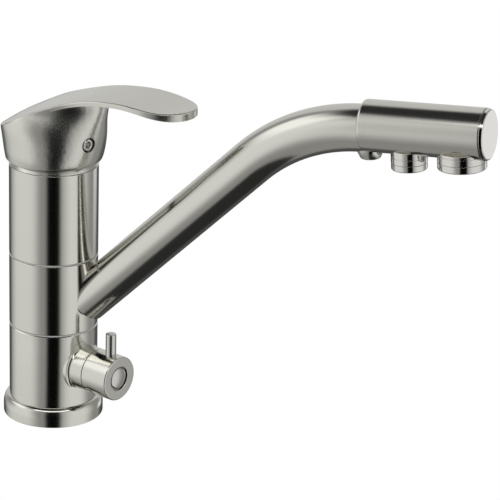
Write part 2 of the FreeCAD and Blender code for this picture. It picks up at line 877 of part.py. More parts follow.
def lever_handle():
    skirt = cap_shape(0.0)
    body = skirt.fuse(paddle_outline()).common(below_lever_top(0.0))
    wide = 2 * cap_radius
    corner = V(0, -wide, cap_bottom - lever_depth)
    under = Part.makeBox(2 * lever_tip, 2 * wide, 3 * lever_depth, corner).common(below_paddle())
    body = rounded_rim(body.cut(under.cut(skirt)).Solids[0])
    above = cap_bottom + lever_depth - 1.0
    cavity = post(cap_inner_radius, cap_bottom - 1.0, cap_bottom + cap_mouth_depth)
    cavity = cavity.fuse(cap_shape(cap_upper_wall))
    body = body.cut(cavity.common(below_lever_top(cap_top_thickness)))
    boss = post(lever_boss_radius, lever_boss_bottom, above)
    boss = boss.common(below_lever_top(lever_boss_lowering))
    tunnel_end = (cap_inner_radius + cap_radius) / 2
    body = body.fuse(boss.fuse(screw_rod(set_screw_tunnel_radius, 0.0, tunnel_end)))
    socket_side = spindle_side + 2 * seat_gap
    body = body.cut(square_post(socket_side, lever_boss_bottom - 1.0, spindle_top + 2 * guide_gap))
    body = body.cut(screw_rod(set_screw_shank_radius + seat_gap, 1.0, set_screw_seat + 1.0))
    head_way = set_screw_head_radius + set_screw_head_gap
    return body.cut(screw_rod(head_way, set_screw_seat, cap_radius + 3.0))


def lever_set_screw():
    end = set_screw_seat + set_screw_head_depth
    body = screw_rod(set_screw_shank_radius, set_screw_tip, set_screw_seat + 1.0)
    body = body.fuse(screw_rod(set_screw_head_radius, set_screw_seat + seat_gap, end))
    socket = screw_rod(set_screw_socket, end - set_screw_socket_depth, end + 1.0)
    return body.cut(socket).removeSplitter()


def spindle():
    ball_height = pivot_height - spindle_arm
    body = Part.makeSphere(spindle_ball_radius, V(0, 0, ball_height))
    body = body.fuse(post(spindle_neck_radius, ball_height, pivot_height - hub_radius + 1.0))
    hub = rod(hub_radius, V(0, -hub_half_width, pivot_height), V(0, 1, 0), 2 * hub_half_width)
    body = body.fuse(hub)
    body = body.fuse(post(spindle_post_radius, pivot_height, spindle_square_bottom + 1.0))
    body = body.fuse(square_post(spindle_side, spindle_square_bottom, spindle_top))
    start = V(0, -hub_half_width - 1.0, pivot_height)
    bore = rod(pivot_pin_radius + running_fit, start, V(0, 1, 0), 2 * hub_half_width + 2.0)
    return body.cut(bore).removeSplitter()


# Swivel sleeve and spout tube

def bend(radius, start, elevation, bend_radius, turn):
    # A round bar bent in the XZ plane; a positive turn bends it downward.
    way = direction(elevation)
    side = V(way.z, 0, -way.x) if turn > 0 else V(-way.z, 0, way.x)
    centre = start + side * bend_radius
    disc = Part.Face(Part.Wire(Part.Circle(start, way, radius).toShape()))
    axis = V(0, 1, 0) if turn > 0 else V(0, -1, 0)
    return disc.revolve(centre, axis, abs(turn))


def spout_line(radius, start, end_reach):
    # The spout's bent bar from a point on the rising line to a reach inside the head.
    bend_start, bend_end = tube_bend_ends()
    end = head_point(end_reach, -head_offset)
    rising = bend_start - start
    body = rod(radius, start, rising, rising.Length)
    body = body.fuse(bend(radius, bend_start, tube_rise, tube_bend_radius, tube_rise - head_tilt))
    entering = end - bend_end
    if entering.dot(direction(head_tilt)) > 0.01:
        body = body.fuse(rod(radius, bend_end, entering, entering.Length))
    return body.removeSplitter()


tube_foot_rise = tube_foot_reach * math.tan(math.radians(tube_rise))
tube_start = V(tube_foot_reach, 0, tube_foot_height + tube_foot_rise)


def head_rod(radius, start, end, lift=0.0):
    return rod(radius, head_point(start, lift), direction(head_tilt), end - start)


def spout_tube():
    outer = spout_line(tube_radius, tube_start, tube_shoulder)
    outer = outer.fuse(head_rod(tube_spigot_radius, tube_shoulder - 2.0, spigot_end, -head_offset))
    inner = spout_line(tube_bore_radius, tube_start, spigot_end + 1.0)
    core = post(body_radius, 0.0, body_top)
    return outer.cut(inner).cut(core).removeSplitter()


def tube_end_seal():
    start = spigot_end + seat_gap
    end = start + tube_seal_thickness
    outer = head_rod(tube_spigot_radius, start, end, -head_offset)
    return outer.cut(head_rod(tube_bore_radius, start - 1.0, end + 1.0, -head_offset))


def swivel_sleeve():
    bore = column_radius + running_fit
    body = ring(body_radius, bore, sleeve_bottom, sleeve_top)
    body = chamfer_at(body, sleeve_bottom, edge_break, body_radius)
    body = chamfer_at(body, sleeve_top, edge_break, body_radius)
    for bottom, top in (mixed_chamber, filtered_chamber):
        body = body.cut(ring(chamber_radius, bore - 1.0, bottom, top))
    out = body_radius + 1.0
    body = body.cut(along_x(mixed_sleeve_port_radius, column_radius, out, mixed_sleeve_port_height))
    return body.cut(along_x(nipple_radius + seat_gap, column_radius, out, filtered_port_height))


# Filtered-water hose and its fittings

def hose_line(radius):
    rise = math.tan(math.radians(tube_rise))
    corner = V((filtered_port_height - tube_foot_height) / rise, 0, filtered_port_height)
    reach = hose_bend_radius * math.tan(math.radians(tube_rise / 2))
    bend_start = corner - V(reach, 0, 0)
    bend_end = corner + direction(tube_rise) * reach
    body = along_x(radius, hose_start, bend_start.x, filtered_port_height)
    body = body.fuse(bend(radius, bend_start, 0.0, hose_bend_radius, -tube_rise))
    return body.fuse(spout_line(radius, bend_end, hose_end)).removeSplitter()


hose_end = filtered_reach - hose_end_gap


def filtered_hose():
    return hose_line(hose_radius).cut(hose_line(hose_bore_radius))


def hose_nipple():
    z = filtered_port_height
    body = along_x(nipple_radius, chamber_radius, nipple_collar_start, z)
    body = body.fuse(along_x(nipple_collar_radius, nipple_collar_start, hose_start - seat_gap, z))
    body = body.fuse(along_x(nipple_spigot_radius, body_radius, hose_start + nipple_spigot_length, z))
    return body.cut(along_x(nipple_bore_radius, 0.0, hose_start + 10.0, z)).removeSplitter()


def hose_end_fitting():
    reach = filtered_reach
    collar = hose_end + seat_gap
    spigot_start = hose_end - nipple_spigot_length
    body = head_rod(nipple_spigot_radius, spigot_start, collar + 1.0, -head_offset)
    body = body.fuse(head_rod(elbow_radius + 0.2, collar, collar + 1.5, -head_offset))
    body = body.fuse(head_rod(elbow_radius, collar, reach + elbow_radius + 0.6, -head_offset))
    body = body.fuse(head_post(elbow_radius, reach, elbow_depth, head_offset))
    body = body.cut(head_rod(nipple_bore_radius, spigot_start - 1.0, reach, -head_offset))
    return body.cut(head_post(elbow_bore_radius, reach, elbow_depth + 1.0, head_offset)).removeSplitter()


def head_post(radius, reach, low, high):
    # A round post square to the head's axis, between two depths below that axis.
    down = head_point(reach, -low) - head_point(reach, -high)
    return rod(radius, head_point(reach, -high), down, low - high)


# Spout head

def spout_head():
    body = along_x(head_radius, head_start, head_face)
    left = [edge for edge in body.Edges if abs(edge.BoundBox.XMax - head_start) < 0.01]
    body = body.makeFillet(head_edge_round, left)
    groove_start = head_face - end_groove_width
    groove = along_x(head_radius + 1.0, groove_start, head_face + 1.0)
    body = body.cut(groove.cut(along_x(head_radius - end_groove_depth, groove_start - 1.0, head_face + 2.0)))
    inside = boss_shoulder - 3.2
    root = turned([(0, -inside), (boss_root_radius, -inside), (boss_root_radius, -boss_shoulder),
                   (boss_tip_radius, -boss_depth), (0, -boss_depth)])
    tip = [edge for edge in root.Edges if edge.BoundBox.ZMax < 0.01 - boss_depth and edge.Length > 1.0]
    root = root.makeFillet(boss_tip_round, tip)
    root.translate(V(boss_reach, 0, 0))
    saddle = along_x(tube_radius + boss_saddle_gap, boss_reach - 2 * boss_root_radius, head_start)
    saddle.translate(V(0, 0, -head_offset))
    root = root.cut(saddle)
    body = into_head_place(body.fuse(root).removeSplitter())
    body = body.cut(head_rod(head_bore_radius, socket_end, head_face + 1.0))
    body = body.cut(head_rod(tube_spigot_radius + seat_gap, head_start - 3.0, socket_end, -head_offset))
    screw_top = tube_spigot_radius - 2.0
    body = body.cut(head_post(lock_screw_radius + seat_gap, boss_reach, boss_depth + 1.0, screw_top))
    for outlet in (mains_outlet, filtered_outlet):
        body = body.cut(head_post(outlet["root"], outlet["reach"], head_radius + 1.0, outlet_passage_top))
    return body


def head_end_cap():
    plate = along_x(head_radius, head_face + seat_gap, head_end)
    rim = [edge for edge in plate.Edges if abs(edge.BoundBox.XMin - head_end) < 0.01]
    plate = plate.makeChamfer(end_cap_bevel, rim)
    plug_start = head_face - end_plug_length
    plug = along_x(head_bore_radius - seat_gap, plug_start, head_face + 0.5)
    plug = plug.cut(along_x(head_bore_radius - end_plug_wall, plug_start - 1.0, head_face))
    return into_head_place(plate.fuse(plug).removeSplitter())


def head_lock_screw():
    reach = head_offset + tube_spigot_radius + seat_gap
    end = boss_depth - lock_screw_inset
    body = head_post(lock_screw_radius, boss_reach, end, reach)
    socket_top = end - lock_screw_socket_depth
    return body.cut(head_post(lock_screw_socket_radius, boss_reach, end + 1.0, socket_top))


# Outlets under the head

def outlet_levels(outlet):
    nose = outlet["split"] + outlet_nose
    washer = nose + seat_gap + outlet_washer
    flange = washer + seat_gap + outlet_flange
    return nose, washer, flange


def outlet_collar(outlet):
    reach = outlet["reach"]
    radius = outlet["radius"]
    split = outlet["split"]
    body = head_post(radius, reach, split, outlet["crown"])
    body = body.cut(head_rod(head_radius + seat_gap, head_start, head_end + 20.0))
    body = body.fuse(head_post(outlet["root"] - seat_gap, reach, split, outlet_root_top))
    nose, _, _ = outlet_levels(outlet)
    body = body.fuse(head_post(radius - outlet_wall - seat_gap, reach, nose, split - 0.5))
    low = outlet["line"] + outlet_line_width / 2
    high = outlet["line"] - outlet_line_width / 2
    groove = head_post(radius + 1.0, reach, low, high)
    groove = groove.cut(head_post(radius - outlet_line_depth, reach, low + 1.0, high - 1.0))
    return body.cut(groove)


def mains_collar():
    nose, _, _ = outlet_levels(mains_outlet)
    passage = head_post(mains_outlet["bore"], mains_reach, nose + 1.0, outlet_passage_top)
    return outlet_collar(mains_outlet).cut(passage).removeSplitter()


def filtered_collar():
    # The elbow of the hose enters a pocket above the outlet's own bore.
    nose, _, _ = outlet_levels(filtered_outlet)
    pocket_end = elbow_depth + guide_gap
    pocket = head_post(elbow_radius + seat_gap, filtered_reach, pocket_end + face_gap, outlet_passage_top)
    passage = head_post(filtered_outlet["bore"], filtered_reach, nose + 1.0, pocket_end)
    return outlet_collar(filtered_outlet).cut(pocket).cut(passage).removeSplitter()


def outlet_shell(outlet):
    reach = outlet["reach"]
    flange = outlet_levels(outlet)[2]
    outer = head_post(outlet["radius"] - shell_inset, reach, outlet["bottom"], outlet["split"] + shell_gap)
    low = [edge for edge in outer.Edges if edge.Curve.TypeId == "Part::GeomCircle"]
    low = min(low, key=lambda edge: edge.BoundBox.Center.z)
    outer = outer.makeFillet(shell_round, [low])
    outer = outer.cut(head_post(outlet["radius"] - outlet_wall, reach, flange + seat_gap, 0.0))
    mouth = outlet["bore"] + edge_break / 2
    return outer.cut(head_post(mouth, reach, outlet["bottom"] + 1.0, 0.0))


def outlet_washer_ring(outlet):
    reach = outlet["reach"]
    nose, washer, _ = outlet_levels(outlet)
    outer = head_post(outlet["radius"] - outlet_wall - face_gap, reach, washer, nose + seat_gap)
    return outer.cut(head_post(outlet["bore"], reach, washer + 1.0, nose - 1.0))


def outlet_insert(outlet):
    reach = outlet["reach"]
    top = outlet["insert"]
    _, washer, flange = outlet_levels(outlet)
    bottom = outlet["bottom"] - insert_inset
    radius = outlet["bore"] - face_gap
    body = head_post(radius, reach, bottom, top)
    rim = head_post(outlet["radius"] - outlet_wall - face_gap, reach, flange, washer + seat_gap)
    body = body.fuse(rim)
    bore = head_post(radius - insert_wall, reach, bottom + 1.0, top + outlet_wall)
    return body.cut(bore).removeSplitter()


def outlet_mesh(outlet):
    # A disc pierced by rings of round holes, held at the mouth of the insert.
    reach = outlet["reach"]
    low = outlet["bottom"] - 2 * insert_inset
    radius = outlet["bore"] - face_gap - insert_wall - seat_gap
    body = head_post(radius, reach, low, low - mesh_thickness)
    hole = mesh_hole_radius
    holes = [head_post(hole, reach, low + 1.0, low - 2.0)]
    centre = head_point(reach)
    axis = direction(head_tilt + 90.0)
    for circle in range(1, int((radius - hole - guide_gap) / mesh_spacing) + 1):
        count = 6 * circle
        arm = circle * mesh_spacing
        start = head_post(hole, reach + arm, low + 1.0, low - 2.0)
        for index in range(count):
            copy = start.copy()
            copy.rotate(centre, axis, 360.0 * index / count)
            holes.append(copy)
    return body.cut(group(holes))


# Side valve with its knob

valve_disc_start = valve_cavity_start + valve_seal_thickness + seat_gap
valve_disc_end = valve_disc_start + valve_disc_thickness
moving_start = valve_disc_end + seat_gap
moving_end = moving_start + valve_disc_thickness
flange_start = moving_end + seat_gap
flange_end = flange_start + valve_flange_thickness


def valve_collar():
    bore = valve_boss_radius + seat_gap
    flare_end = collar_root_end + collar_flare_length
    flare_drop = collar_root_radius - collar_radius
    start_low = V(collar_start, bore, 0)
    start_high = V(collar_start, collar_root_radius, 0)
    root = V(collar_root_end, collar_root_radius, 0)
    middle = V(collar_root_end + collar_flare_length / 3, collar_root_radius - 0.72 * flare_drop, 0)
    flare = V(flare_end, collar_radius, 0)
    end_high = V(collar_end, collar_radius, 0)
    end_low = V(collar_end, bore, 0)
    outline = [
        Part.LineSegment(start_low, start_high).toShape(),
        Part.LineSegment(start_high, root).toShape(),
        Part.Arc(root, middle, flare).toShape(),
        Part.LineSegment(flare, end_high).toShape(),
        Part.LineSegment(end_high, end_low).toShape(),
        Part.LineSegment(end_low, start_low).toShape(),
    ]
    body = Part.Face(Part.Wire(outline)).revolve(V(0, 0, 0), V(1, 0, 0), 360)
    body = into_valve_place(body)
    return body.cut(post(body_radius + seat_gap, 0.0, lower_body_top))


def valve_end_seal():
    start = valve_cavity_start + seat_gap / 2
    end = valve_disc_start - seat_gap / 2
    return valve_ring(valve_seal_radius, valve_feed_radius + face_gap, start, end)


def valve_fixed_disc():
    body = valve_rod(valve_disc_radius, valve_disc_start, valve_disc_end)
    return body.cut(disc_window(valve_disc_start, valve_disc_end, 1.0))


def disc_window(start, end, side):
    # A half-round window on one side of the valve's axis.
    window = valve_rod(valve_window_radius, start - 1.0, end + 1.0)
    size = 4 * valve_window_radius
    low = valve_window_inset if side > 0 else -valve_window_inset - size
    box = Part.makeBox(size, size, size, V(-size / 2, -size / 2, low))
    box.rotate(V(0, 0, 0), UP, valve_angle)
    box.translate(on_valve((start + end) / 2))
    return window.common(box)


def valve_moving_disc():
    body = valve_rod(valve_moving_disc_radius, moving_start, moving_end)
    return body.cut(disc_window(moving_start, moving_end, -1.0))


def valve_headwork():
    start = valve_disc_end + seat_gap / 2
    nut_start = valve_boss_end + face_gap
    body = valve_rod(valve_cavity_radius - seat_gap, start, nut_start + 0.5)
    points = []
    for corner in range(7):
        angle = math.radians(60.0 * corner)
        half = headwork_hex / math.sqrt(3.0)
        points.append(V(0, half * math.cos(angle), half * math.sin(angle)))
    nut = Part.Face(Part.makePolygon(points)).extrude(V(headwork_end - nut_start, 0, 0))
    nut.translate(V(nut_start, 0, 0))
    body = body.fuse(into_valve_place(nut))
    recess = valve_moving_disc_radius + guide_gap
    body = body.cut(valve_rod(recess, valve_disc_end - 1.0, flange_end + guide_gap))
    groove_start = valve_disc_end + 2 * guide_gap
    groove = valve_ring(valve_cavity_radius + 1.0, headwork_groove_radius, groove_start, flange_end)
    body = body.cut(groove)
    depth = V(0, 0, -valve_cavity_radius - 1.0)
    window = rod(headwork_window_radius, on_valve(flange_start + guide_gap) + depth, UP, -2 * depth.z)
    body = body.cut(window)
    return body.cut(valve_rod(valve_spindle_radius + running_fit, flange_end - 1.0, headwork_end + 1.0))


def valve_spindle():
    body = valve_rod(valve_moving_disc_radius - face_gap, flange_start, flange_end)
    body = body.fuse(valve_rod(valve_spindle_radius, flange_start, knob_back_end + 2 * guide_gap))
    square = Part.makeBox(valve_spindle_end - knob_back_end, valve_square, valve_square,
                          V(knob_back_end, -valve_square / 2, -valve_square / 2))
    body = body.fuse(into_valve_place(square))
    half = spindle_seal_section + running_fit
    floor = valve_spindle_radius - 2 * spindle_seal_section - seat_gap
    groove = valve_ring(valve_spindle_radius + 1.0, floor, spindle_seal_place - half, spindle_seal_place + half)
    body = body.cut(groove)
    return body.cut(valve_rod(knob_screw_radius - guide_gap, knob_back_end - 1.0, valve_spindle_end + 1.0))


def spindle_seal():
    middle = valve_spindle_radius - spindle_seal_section
    return Part.makeTorus(middle, spindle_seal_section, on_valve(spindle_seal_place), valve_out)


def filter_knob():
    body = along_x(knob_radius, knob_start, knob_end)
    rim = [edge for edge in body.Edges if abs(edge.BoundBox.XMin - knob_end) < 0.01]
    body = body.makeFillet(knob_edge_round, rim)
    body = into_valve_place(body)
    body = body.cut(valve_rod(knob_back_radius, knob_start - 1.0, knob_back_end))
    body = body.cut(valve_rod(knob_recess_radius, knob_recess_floor, knob_end + 1.0))
    side = valve_square + 2 * seat_gap
    depth = valve_spindle_end + guide_gap - knob_back_end + 1.0
    hole = Part.makeBox(depth, side, side, V(knob_back_end - 1.0, -side / 2, -side / 2))
    body = body.cut(into_valve_place(hole))
    shank_way = valve_rod(knob_screw_radius + face_gap, valve_spindle_end - 1.0, knob_recess_floor + 1.0)
    body = body.cut(shank_way)
    pin_start = on_valve(pin_reach) + V(0, 0, pin_foot - seat_gap)
    body = body.cut(rod(pin_radius + seat_gap, pin_start, UP, knob_radius))
    relief_end = knob_back_end + 2 * guide_gap + face_gap
    return body.cut(valve_rod(valve_spindle_radius + face_gap, knob_back_end - 1.0, relief_end))


def knob_pin():
    foot = on_valve(pin_reach) + V(0, 0, pin_foot)
    body = rod(pin_radius, foot, UP, pin_top - pin_foot)
    top = max(body.Edges, key=lambda edge: edge.BoundBox.ZMin)
    return body.makeChamfer(pin_chamfer, [top])


def knob_screw():
    start = knob_recess_floor + seat_gap
    end = start + knob_screw_head_height
    body = valve_rod(knob_screw_head_radius, start, end)
    shank = knob_screw_radius - guide_gap - running_fit
    body = body.fuse(valve_rod(shank, knob_back_end + 0.5, start + 0.5))
    slot_start = end - knob_screw_head_height / 2
    corner = V(slot_start, -knob_screw_head_radius - 1.0, -knob_slot_width / 2)
    slot = Part.makeBox(knob_screw_head_height, 2 * knob_screw_head_radius + 2.0, knob_slot_width, corner)
    return body.cut(into_valve_place(slot)).removeSplitter()


def knob_cap():
    # A domed button over a flange that fills the recess in the knob's face.
    start = knob_recess_floor + knob_screw_head_height + 5 * seat_gap
    flange = start + knob_flange_thickness
    rim = knob_end - knob_button_sink
    sphere = (knob_button_radius ** 2 + knob_button_rise ** 2) / (2 * knob_button_rise)
    body = along_x(knob_button_radius, start, rim)
    ball = Part.makeSphere(sphere, V(rim + knob_button_rise - sphere, 0, 0))
    top = ball.common(along_x(knob_button_radius, rim - 0.2, rim + knob_button_rise + 1.0))
    body = body.fuse(top).fuse(along_x(knob_recess_radius - seat_gap, start, flange))
    return into_valve_place(body.removeSplitter())


save("foot_ring", foot_ring())
save("deck_gasket", deck_gasket())
save("lower_body", lower_body())
save("column", column())
save("column_foot_seal", column_foot_seal())
save("swivel_seals", swivel_seals())
save("lower_slip_ring", slip_ring(lower_body_top))
save("upper_slip_ring", slip_ring(upper_body_bottom - slip_ring_thickness))
save("upper_body", upper_body())
save("cartridge_base", cartridge_base())
save("port_seals", port_seals())
save("fixed_disc", fixed_disc())
save("cartridge_housing", cartridge_housing())
save("cartridge_nut", cartridge_nut())
save("dome_ring", dome_ring())
save("turret", turret())
save("pivot_pin", pivot_pin())
save("disc_carrier", disc_carrier())
save("moving_disc", moving_disc())
save("lever_handle", lever_handle())
save("lever_set_screw", lever_set_screw())
save("spindle", spindle())
save("swivel_sleeve", swivel_sleeve())
save("spout_tube", spout_tube())
save("tube_end_seal", tube_end_seal())
save("filtered_hose", filtered_hose())
save("hose_nipple", hose_nipple())
save("hose_end_fitting", hose_end_fitting())
save("spout_head", spout_head())
save("head_end_cap", head_end_cap())
save("head_lock_screw", head_lock_screw())
save("mains_collar", mains_collar())
save("mains_shell", outlet_shell(mains_outlet))
save("mains_washer", outlet_washer_ring(mains_outlet))
save("mains_insert", outlet_insert(mains_outlet))
save("mains_mesh", outlet_mesh(mains_outlet))
save("filtered_collar", filtered_collar())
save("filtered_shell", outlet_shell(filtered_outlet))
save("filtered_washer", outlet_washer_ring(filtered_outlet))
save("filtered_insert", outlet_insert(filtered_outlet))
save("filtered_mesh", outlet_mesh(filtered_outlet))
save("valve_collar", valve_collar())
save("valve_end_seal", valve_end_seal())
save("valve_fixed_disc", valve_fixed_disc())
save("valve_headwork", valve_headwork())
save("valve_moving_disc", valve_moving_disc())
save("valve_spindle", valve_spindle())
save("spindle_seal", spindle_seal())
save("filter_knob", filter_knob())
save("knob_pin", knob_pin())
save("knob_screw", knob_screw())
save("knob_cap", knob_cap())
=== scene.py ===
import bmesh
import bpy
import math
from mathutils import Matrix, Vector


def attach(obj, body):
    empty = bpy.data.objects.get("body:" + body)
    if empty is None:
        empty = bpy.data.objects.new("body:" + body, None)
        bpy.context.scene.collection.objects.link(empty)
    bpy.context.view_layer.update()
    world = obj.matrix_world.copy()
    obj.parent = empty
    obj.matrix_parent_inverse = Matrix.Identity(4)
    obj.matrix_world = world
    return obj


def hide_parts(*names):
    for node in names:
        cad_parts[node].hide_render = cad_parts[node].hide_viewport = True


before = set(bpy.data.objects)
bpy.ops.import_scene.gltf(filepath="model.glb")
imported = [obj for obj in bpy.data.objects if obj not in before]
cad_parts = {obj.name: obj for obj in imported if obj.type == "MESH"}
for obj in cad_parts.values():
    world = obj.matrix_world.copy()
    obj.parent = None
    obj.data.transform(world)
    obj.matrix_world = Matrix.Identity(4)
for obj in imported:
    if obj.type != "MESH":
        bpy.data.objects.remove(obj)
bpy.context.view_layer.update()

MM = 0.001


# Places and directions, in millimetres in the tap's own frame

def heading(angle):
    # A level direction, by its angle in degrees from the spout's side.
    turn = math.radians(angle)
    return Vector((math.cos(turn), math.sin(turn), 0.0))


def sloping(angle):
    # A direction in the plane of spout and lever, by its slope in radians.
    return Vector((math.cos(angle), 0.0, math.sin(angle)))


def placed(origin, axis, side):
    # A frame whose Z runs along the axis and whose X lies towards the side.
    z = Vector(axis).normalized()
    y = z.cross(Vector(side)).normalized()
    x = y.cross(z)
    turn = Matrix((x, y, z)).transposed().to_4x4()
    return Matrix.Translation(Vector(origin) * MM) @ turn


up = Vector((0.0, 0.0, 1.0))
upright = Matrix.Identity(4)

head_tilt = math.radians(4.5)
head_along = sloping(head_tilt)
head_down = Vector((math.sin(head_tilt), 0.0, -math.cos(head_tilt)))
head_origin = Vector((0.0, 0.0, 170.45))
head_place = placed(head_origin, head_along, -head_down)

valve_way = heading(-15.0)
valve_origin = Vector((0.0, 0.0, 30.2))
valve_place = placed(valve_origin, valve_way, up)


def under_head(reach):
    # A frame that looks down from the head's axis, at that distance from the tap's middle.
    return placed(head_origin + head_along * reach, head_down, (0, 1, 0))


# Outlines

def rounded(points, steps=6):
    # Points are (x, y) or (x, y, radius); a radius rounds that corner of the closed outline.
    outline = []
    for index, point in enumerate(points):
        here = Vector(point[:2])
        if len(point) == 2:
            outline.append(here)
            continue
        radius = point[2]
        before = (Vector(points[index - 1][:2]) - here).normalized()
        after = (Vector(points[(index + 1) % len(points)][:2]) - here).normalized()
        half = before.angle(after) / 2.0
        back = radius / math.tan(half)
        centre = here + (before + after).normalized() * (radius / math.sin(half))
        first = here + before * back - centre
        last = here + after * back - centre
        sweep = first.angle_signed(last)
        for step in range(steps + 1):
            turn = Matrix.Rotation(-sweep * step / steps, 2)
            outline.append(centre + turn @ first)
    return outline


def arc(centre, width, height, start, end, steps):
    # Part of an ellipse, between two angles in degrees.
    outline = []
    for step in range(steps + 1):
        turn = math.radians(start + (end - start) * step / steps)
        outline.append((centre[0] + width * math.cos(turn), centre[1] + height * math.sin(turn)))
    return outline


def lengths_along(points):
    # How far each point is from the first, along the line of points.
    lengths = [0.0]
    for first, second in zip(points, points[1:]):
        lengths.append(lengths[-1] + (second - first).length)
    return lengths


# Meshes

def mesh_piece(name, points, faces, marks, place, body, surface, nodes):
    # Points are in millimetres; marks are each face corner's place along and across the grain.
    weld = 0.002 * MM
    sharp = math.radians(34.0)
    mesh = bpy.data.meshes.new(name)
    mesh.from_pydata([tuple(Vector(point) * MM) for point in points], [], faces)
    layer = mesh.uv_layers.new(name="grain")
    for loop, mark in zip(layer.data, marks):
        loop.uv = mark
    form = bmesh.new()
    form.from_mesh(mesh)
    bmesh.ops.remove_doubles(form, verts=form.verts, dist=weld)
    bmesh.ops.recalc_face_normals(form, faces=form.faces)
    form.to_mesh(mesh)
    form.free()
    mesh.shade_smooth()
    mesh.set_sharp_from_angle(angle=sharp)
    mesh.materials.append(surface)
    obj = bpy.data.objects.new(name, mesh)
    bpy.context.scene.collection.objects.link(obj)
    obj.matrix_world = place
    keep_flats_flat(obj)
    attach(obj, body)
    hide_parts(*nodes)


def keep_flats_flat(obj):
    # Smooth shading follows the large faces, and the narrow roundings take the change.
    weigh = obj.modifiers.new("face_weighting", "WEIGHTED_NORMAL")
    weigh.keep_sharp = True


def turned(name, outline, place, body, surface, nodes, steps=128):
    # A lathe piece: the closed outline of (radius, height) goes round the place's Z axis.
    on_axis = 1e-6
    outline = [Vector(point) for point in outline]
    rows = len(outline)
    widest = max(point[0] for point in outline)
    lengths = lengths_along(outline + outline[:1])
    points, faces, marks = [], [], []
    for step in range(steps):
        turn = 2.0 * math.pi * step / steps
        for radius, height in outline:
            points.append((radius * math.cos(turn), radius * math.sin(turn), height))
    for step in range(steps):
        start = step * math.tau / steps * widest
        end = (step + 1) * math.tau / steps * widest
        here = step * rows
        ahead = (step + 1) % steps * rows
        for row in range(rows):
            following = (row + 1) % rows
            if max(outline[row][0], outline[following][0]) < on_axis:
                continue
            faces.append((here + row, ahead + row, ahead + following, here + following))
            low = lengths[row]
            high = lengths[row + 1]
            marks += [(start, low), (end, low), (end, high), (start, high)]
    mesh_piece(name, points, faces, marks, place, body, surface, nodes)


def swept(name, path, radius, body, surface, nodes, steps=96):
    # A round bar along a path of (point, direction) in the plane of spout and lever.
    across = Vector((0.0, 1.0, 0.0))
    lengths = lengths_along([centre for centre, way in path])
    points, faces, marks = [], [], []
    for centre, way in path:
        lift = way.cross(across)
        for step in range(steps):
            turn = math.tau * step / steps
            points.append(centre + (across * math.cos(turn) + lift * math.sin(turn)) * radius)
    for row in range(len(path) - 1):
        low = lengths[row]
        high = lengths[row + 1]
        here = row * steps
        ahead = (row + 1) * steps
        for step in range(steps):
            following = (step + 1) % steps
            faces.append((here + step, here + following, ahead + following, ahead + step))
            start = step * math.tau / steps * radius
            end = (step + 1) * math.tau / steps * radius
            marks += [(low, start), (low, end), (high, end), (high, start)]
    mesh_piece(name, points, faces, marks, upright, body, surface, nodes)


# Node tools

def feed(tree, node, inputs):
    # Inputs are named or numbered as on the node; each takes another node's socket or a constant.
    for key, value in inputs.items():
        if isinstance(value, bpy.types.NodeSocket):
            tree.links.new(value, node.inputs[key])
        else:
            node.inputs[key].default_value = value


def add_node(tree, kind, inputs, **settings):
    node = tree.nodes.new(kind)
    for key, value in settings.items():
        setattr(node, key, value)
    feed(tree, node, inputs)
    return node


def calc(tree, operation, *values):
    return add_node(tree, "ShaderNodeMath", dict(enumerate(values)), operation=operation).outputs[0]


def remapped(tree, value, low, high, to_low, to_high, kind="LINEAR"):
    limits = {"Value": value, "From Min": low, "From Max": high, "To Min": to_low, "To Max": to_high}
    return add_node(tree, "ShaderNodeMapRange", limits, interpolation_type=kind).outputs["Result"]


def colour_between(tree, factor, first, second):
    # Inputs 6 and 7 and output 2 are the colours of this node.
    return add_node(tree, "ShaderNodeMix", {0: factor, 6: first, 7: second}, data_type="RGBA").outputs[2]


def in_millimetres(tree, source):
    scaled = {"Vector": source, "Scale": 1.0 / MM}
    return add_node(tree, "ShaderNodeVectorMath", scaled, operation="SCALE").outputs[0]


def node_group(name, inputs, outputs):
    # Inputs are (name, kind, default) and outputs are names of values.
    kinds = {"value": "NodeSocketFloat", "vector": "NodeSocketVector"}
    group = bpy.data.node_groups.new(name, "ShaderNodeTree")
    for title, kind, default in inputs:
        socket = group.interface.new_socket(title, in_out="INPUT", socket_type=kinds[kind])
        socket.default_value = default
    for title in outputs:
        group.interface.new_socket(title, in_out="OUTPUT", socket_type=kinds["value"])
    given = group.nodes.new("NodeGroupInput").outputs
    result = group.nodes.new("NodeGroupOutput")
    return group, given, result


def use_group(tree, group, inputs):
    return add_node(tree, "ShaderNodeGroup", inputs, node_tree=group).outputs


# Effects shared by the finishes

def brushed_grain():
    # Long fine scratches that run along the first coordinate, with soft broader streaks and clouds.
    group, given, result = node_group(
        "brushed_grain",
        [("Place", "vector", (0.0, 0.0, 0.0)), ("Stretch", "value", 40.0), ("Fineness", "value", 6.0)],
        ["Lines", "Streaks", "Cloud"])
    parts = add_node(group, "ShaderNodeSeparateXYZ", {"Vector": given["Place"]}).outputs
    short = calc(group, "DIVIDE", parts["X"], given["Stretch"])

    def scratches(fineness, detail, seed):
        drawn_out = add_node(group, "ShaderNodeCombineXYZ", {"X": short, "Y": parts["Y"], "Z": parts["Z"]})
        inputs = {"Vector": drawn_out.outputs[0], "W": seed, "Scale": fineness, "Detail": detail,
                  "Roughness": 0.6}
        return add_node(group, "ShaderNodeTexNoise", inputs, noise_dimensions="4D").outputs["Fac"]

    cloud = add_node(group, "ShaderNodeTexNoise", {"Vector": given["Place"], "Scale": 0.05, "Detail": 2.0})
    feed(group, result, {
        "Lines": scratches(given["Fineness"], detail=4.0, seed=1.0),
        "Streaks": scratches(0.35, detail=2.0, seed=5.0),
        "Cloud": cloud.outputs["Fac"]})
    return group


